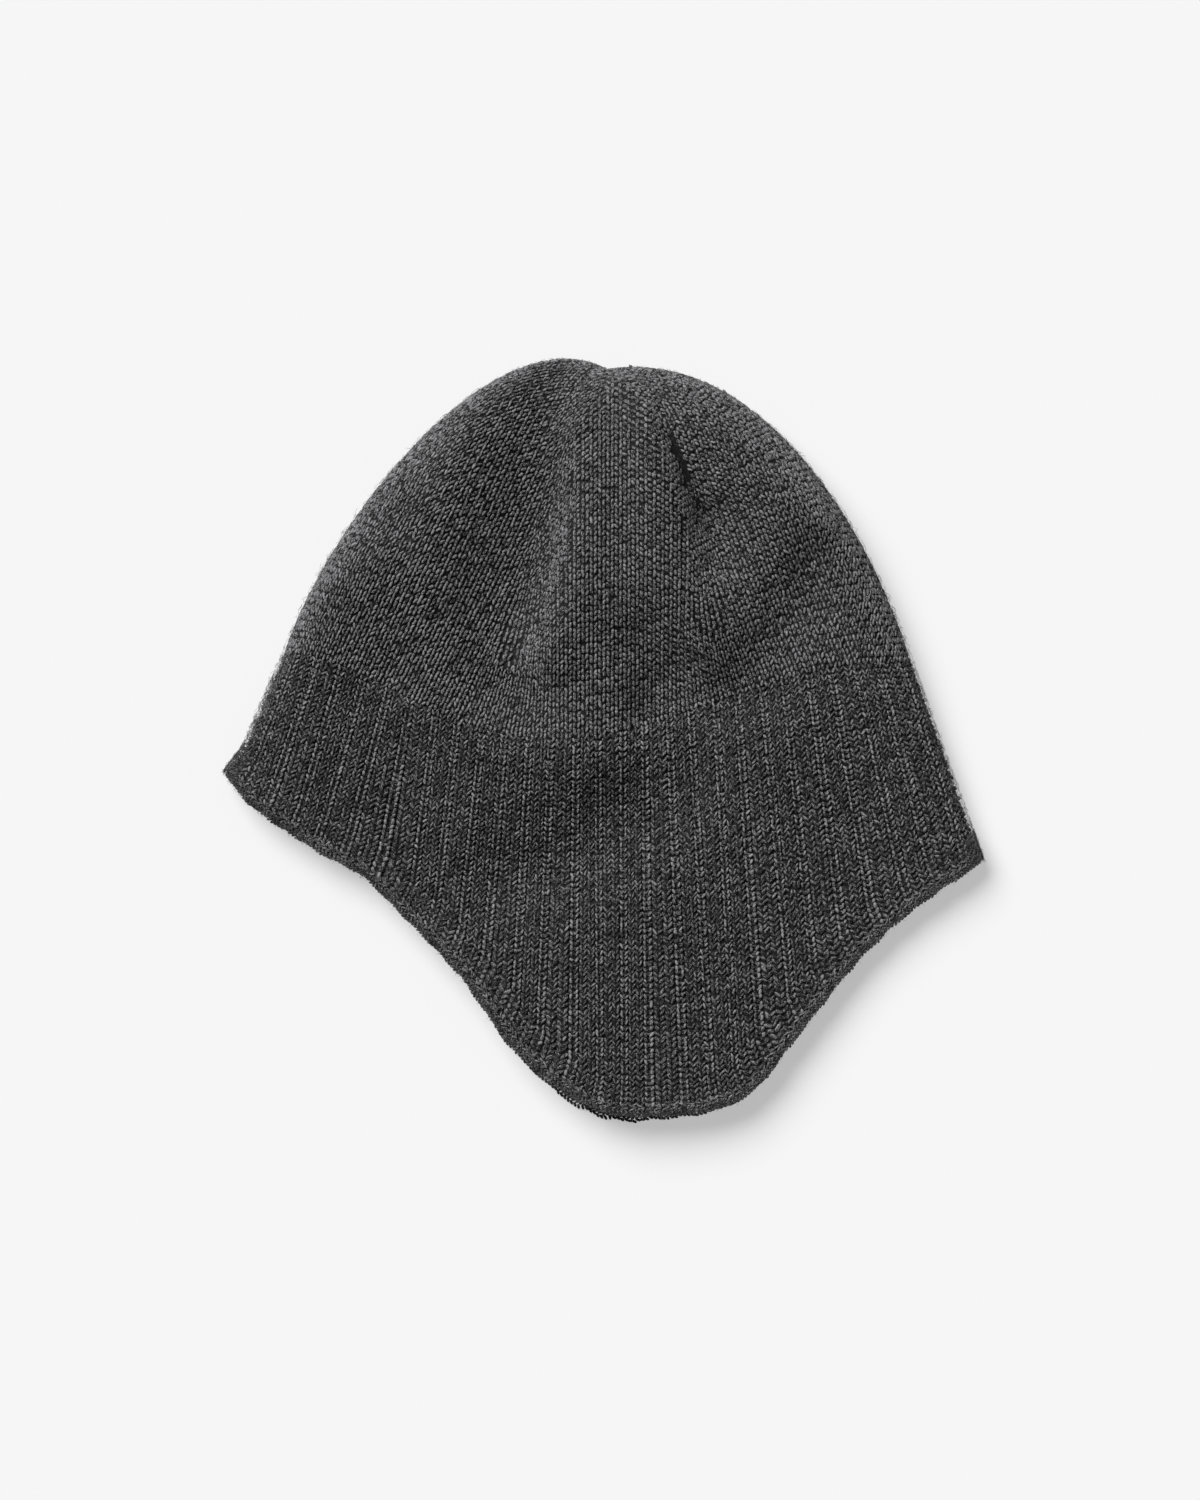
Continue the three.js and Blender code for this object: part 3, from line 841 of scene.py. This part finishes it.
def grid_piece(name, rows, material, tips=None):
    """A closed skin through rows of points, closed on itself or ending in two tips."""
    columns = len(rows[0])
    points = np.concatenate(rows)
    count = len(rows)
    links = count - 1 if tips is not None else count
    base = np.arange(columns)
    faces = []
    for r in range(links):
        a, b = r * columns, (r + 1) % count * columns
        after = (base + 1) % columns
        faces.append(np.stack((a + base, b + base, b + after, a + after), -1))
    faces = np.concatenate(faces).tolist()
    if tips is not None:
        first = len(points)
        points = np.concatenate((points, np.array(tips)))
        last = (count - 1) * columns
        faces += [(first, i, (i + 1) % columns) for i in range(columns)]
        faces += [(first + 1, last + (i + 1) % columns, last + i) for i in range(columns)]
    mesh = bpy.data.meshes.new(name)
    mesh.from_pydata((points * MM).tolist(), [], faces)
    mesh.polygons.foreach_set("use_smooth", [True] * len(mesh.polygons))
    mesh.materials.append(material)
    mesh.update()
    piece = bpy.data.objects.new(name, mesh)
    bpy.context.scene.collection.objects.link(piece)
    return piece


def loop(columns, level, cut=None, inside=False):
    turn = np.arange(columns) * 2 / columns
    return hat_surface(turn, np.full(columns, level), wall_cut + cut(turn) if cut else 0.0, inside)


def wall_piece(name, low, high, columns, outer_rows, inner_rows, cut, tips=None, bend=1.0):
    outer = [loop(columns, low + (high - low) * (i / outer_rows) ** bend, cut) for i in range(outer_rows + 1)]
    inner = [loop(columns, high + (low - high) * i / inner_rows, inside=True) for i in range(inner_rows + 1)]
    piece = grid_piece(name, outer + inner, wall_wool_and_painted_shade, tips)
    tone = np.zeros(len(piece.data.vertices))
    # The outer side, under the stitches, is toned near black: painted shade that shows between the stitches.
    tone[:columns * len(outer)] = painted_shade_between_stitches
    piece.data.attributes.new("tone", "FLOAT", "POINT").data.foreach_set("value", tone)
    return piece


def declare(piece, node):
    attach(piece, "root")
    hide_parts(node)


spindles = stitch_tree()


fibres = fibre_tree()


def yarn_piece(name, yarn, node, sides=5, rings=3):
    return laid_piece(name, yarn, node, spindles, {"Sides": sides, "Rings": rings, "Material": yarn_wool})


def fuzz_piece(name, yarn, node):
    values = {"Bow": fibre_bow, "Radius": fibre_radius, "Steps": 2, "Sides": 3, "Material": fibre_wool}
    return laid_piece(name, yarn, node, fibres, values)


def laid_piece(name, yarn, node, tree, values):
    piece = through_tree(name, yarn.points(name, values.get("Bow", 0.0)), tree, values)
    declare(piece, node)
    print(name, yarn.count(), "bits", sum(len(p.vertices) - 2 for p in piece.data.polygons), "triangles")
    return piece


gap_share = -0.2
# Tone of the walls' outer side: painted shade between the stitches.
painted_shade_between_stitches = -4.0
crown_tip = np.array([(*(crown_top + shift), fold_height)])
crown_tip[0, 1] -= wall_cut
inner_tip = np.array([(*(inner_plan(np.zeros(1), np.zeros(1))[0] + shift), fold_height)])
crown_wall = wall_piece("crown_wall", 0.016, 1 - gap_share / crown_height, 200, 60, 24, no_cut,
                        np.concatenate((crown_tip, inner_tip)), 1.4)
declare(crown_wall, "crown")
band_wall = wall_piece("band_wall", 1 + gap_share / flap_depth, 2 - gap_share / flap_depth, 336, 34, 10, groove_cut)
declare(band_wall, "band_and_ear_flaps")
hem_wall = wall_piece("hem_wall", 2 + gap_share / hem_width, 3 - 1.1 / hem_width, 336, 5, 4, no_cut)
declare(hem_wall, "rib_hem")

yarn_piece("crown_stitches_near", crown_yarn(True), "crown")
yarn_piece("crown_stitches_far", crown_yarn(False), "crown", 4)
yarn_piece("band_stitches_near", rib_yarn(True, 1, 2), "band_and_ear_flaps")
yarn_piece("band_stitches_far", rib_yarn(False, 1, 2), "band_and_ear_flaps", 4)
yarn_piece("hem_stitches", hem_yarn(), "rib_hem")
yarn_piece("cast_off_chain", chain_yarn(), "rib_hem")
fuzz_piece("crown_fuzz", fuzz_yarn(3000, 0.02, 1), "crown")
fuzz_piece("band_fuzz", fuzz_yarn(2500, 1, 3), "band_and_ear_flaps")
fuzz_piece("edge_fuzz", halo_yarn(6000), "rib_hem")

# Floor, light and camera

photo_width, photo_height = 1200, 1500
mm_per_pixel = 0.33
hat_middle_in_photo = (603, 741)
camera_height = 2.0
hat_middle_height = 0.01

floor_mesh = bpy.data.meshes.new("floor")
floor_mesh.from_pydata([(x, y, -0.0002) for x, y in ((-4, -4), (4, -4), (4, 4), (-4, 4))], [], [(0, 1, 2, 3)])
floor = bpy.data.objects.new("floor", floor_mesh)
bpy.context.scene.collection.objects.link(floor)
paper = bpy.data.materials.new("pale paper")
paper.use_nodes = True
paper.node_tree.nodes["Principled BSDF"].inputs["Base Color"].default_value = (0.475, 0.475, 0.475, 1)
paper.node_tree.nodes["Principled BSDF"].inputs["Roughness"].default_value = 0.9
paper.node_tree.nodes["Principled BSDF"].inputs["Specular IOR Level"].default_value = 0.0
paper.node_tree.nodes["Principled BSDF"].inputs["Emission Color"].default_value = (1, 1, 1, 1)
paper.node_tree.nodes["Principled BSDF"].inputs["Emission Strength"].default_value = 0.435
floor_mesh.materials.append(paper)


key_azimuth, key_elevation = math.radians(129), math.radians(44)
sun = bpy.data.lights.new("window_light", "SUN")
sun.energy = 4.05
sun.angle = math.radians(38)
lamp = bpy.data.objects.new("window_light", sun)
towards = Vector((math.cos(key_azimuth) * math.cos(key_elevation), math.sin(key_azimuth) * math.cos(key_elevation),
                  math.sin(key_elevation)))
lamp.rotation_euler = towards.to_track_quat("Z", "Y").to_euler()
bpy.context.scene.collection.objects.link(lamp)

world = bpy.context.scene.world or bpy.data.worlds.new("studio")
bpy.context.scene.world = world
world.use_nodes = True
world.node_tree.nodes["Background"].inputs["Color"].default_value = (1, 1, 1, 1)
world.node_tree.nodes["Background"].inputs["Strength"].default_value = 0.13
bpy.context.scene.view_settings.view_transform = "Standard"

camera = bpy.data.cameras.new("overhead")
camera.sensor_width = 36.0
frame_height = photo_height * mm_per_pixel * MM
camera.lens = camera.sensor_width * (camera_height - hat_middle_height) / frame_height
eye = bpy.data.objects.new("overhead", camera)
eye.location = ((photo_width / 2 - hat_middle_in_photo[0]) * mm_per_pixel * MM,
                (hat_middle_in_photo[1] - photo_height / 2) * mm_per_pixel * MM, camera_height)
bpy.context.scene.collection.objects.link(eye)
bpy.context.scene.camera = eye
